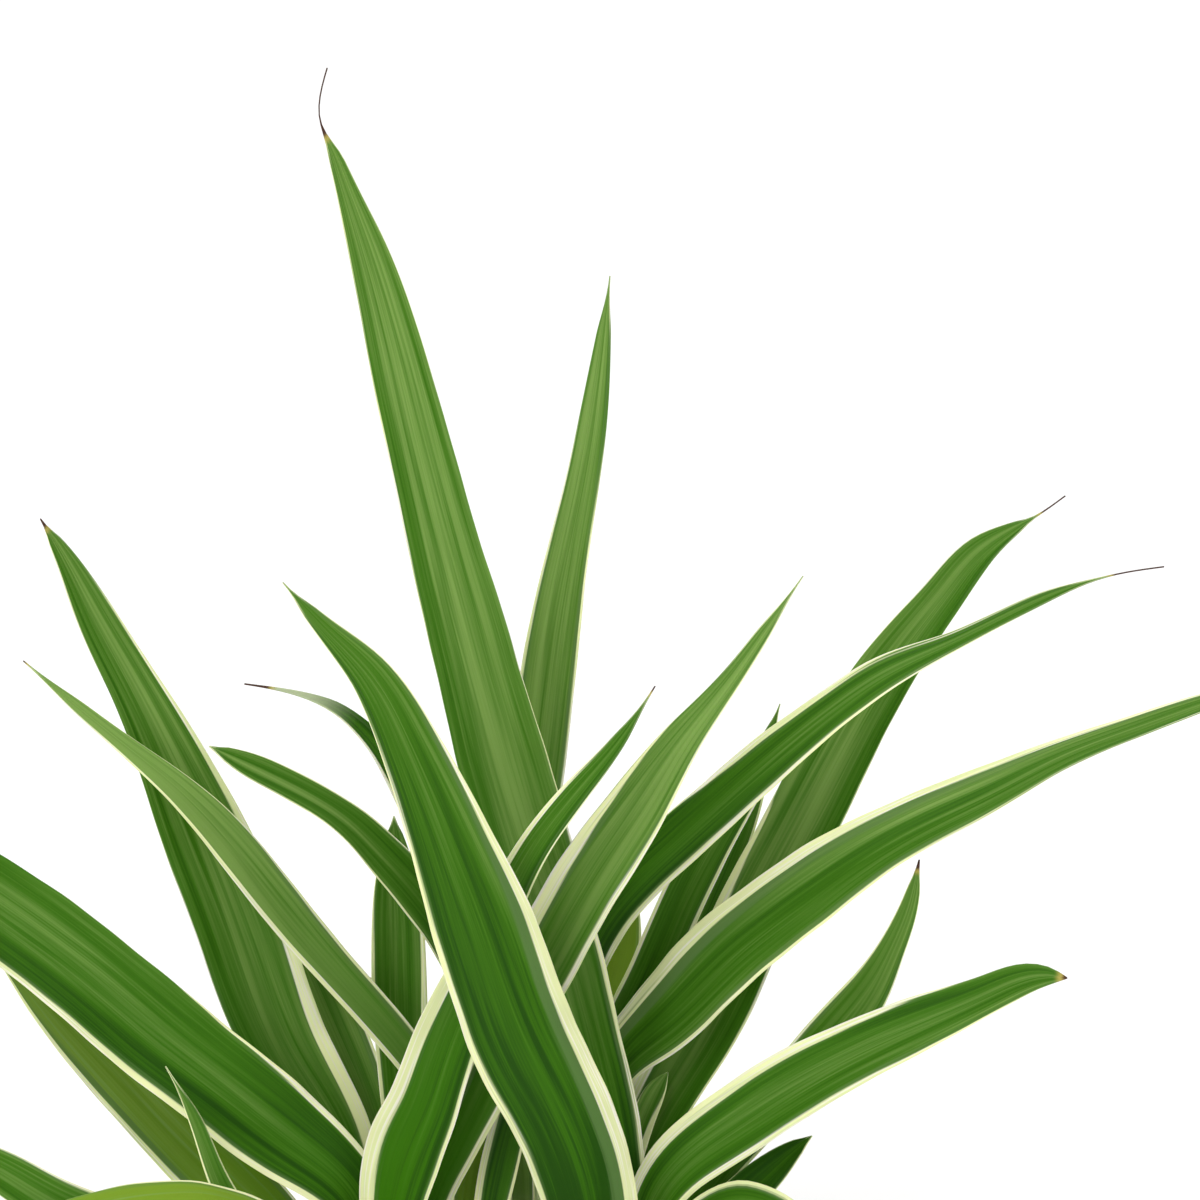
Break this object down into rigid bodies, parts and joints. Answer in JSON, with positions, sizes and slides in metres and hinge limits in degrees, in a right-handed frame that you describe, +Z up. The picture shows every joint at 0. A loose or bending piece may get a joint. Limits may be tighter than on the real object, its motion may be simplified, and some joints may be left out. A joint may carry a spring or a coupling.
{
  "type": "potted spider plant",
  "caption": "Variegated strap-leaf house plant, a rosette of arching green leaves with cream margins, in a plain tapered clay pot of compost.",
  "frame": {"origin": "middle of the pot's flat underside, on its axis", "axes": "+Z up along the pot's axis; the plant's front, which the picture shows, faces -Y; +X is to the right as seen from the front"},
  "size_m": [0.4055, 0.4078, 0.4572],
  "materials": {
    "clay": "unglazed terracotta, matt",
    "compost": "damp dark potting compost, lumpy",
    "crown": "pale green stem tissue, satin",
    "leaf": "satin green with lengthwise streaks and cream margins"
  },
  "bodies": {
    "root": {"pot": "clay", "compost": "compost", "crown_left": "crown", "crown_right": "crown", "crown_back": "crown", "crown_front": "crown", "crown_rear": "crown", "leaf_back_tall": "leaf", "leaf_back_slim": "leaf", "leaf_front_broad": "leaf", "leaf_left_broad": "leaf", "leaf_left_narrow": "leaf", "leaf_left_big": "leaf", "leaf_left_low": "leaf", "leaf_back_left_arch": "leaf", "leaf_back_left_curl": "leaf", "leaf_left_upright": "leaf", "leaf_centre_right": "leaf", "leaf_right_arch": "leaf", "leaf_right_back_broad": "leaf", "leaf_right_big": "leaf", "leaf_right_small": "leaf", "leaf_right_low": "leaf", "leaf_right_low_dark": "leaf", "leaf_right_low_arch": "leaf", "leaf_front_left_rise": "leaf", "leaf_right_inner_slim": "leaf", "leaf_right_inner_dark": "leaf", "leaf_inner_young": "leaf", "leaf_left_young": "leaf", "leaf_hooked_young": "leaf", "leaf_inner_low": "leaf", "leaf_inner_olive": "leaf", "leaf_left_inner": "leaf", "leaf_left_olive_arch": "leaf", "leaf_left_front_low": "leaf", "leaf_front_a": "leaf", "leaf_front_b": "leaf", "leaf_front_c": "leaf", "leaf_front_d": "leaf", "leaf_front_e": "leaf", "leaf_front_g": "leaf", "leaf_front_h": "leaf", "leaf_front_i": "leaf", "leaf_front_j": "leaf", "leaf_side_right_a": "leaf", "leaf_side_right_b": "leaf", "leaf_rear_a": "leaf", "leaf_rear_b": "leaf", "leaf_rear_c": "leaf", "leaf_rear_d": "leaf", "leaf_rear_f": "leaf", "leaf_rear_e": "leaf", "leaf_rear_g": "leaf"}
  },
  "joints": []
}
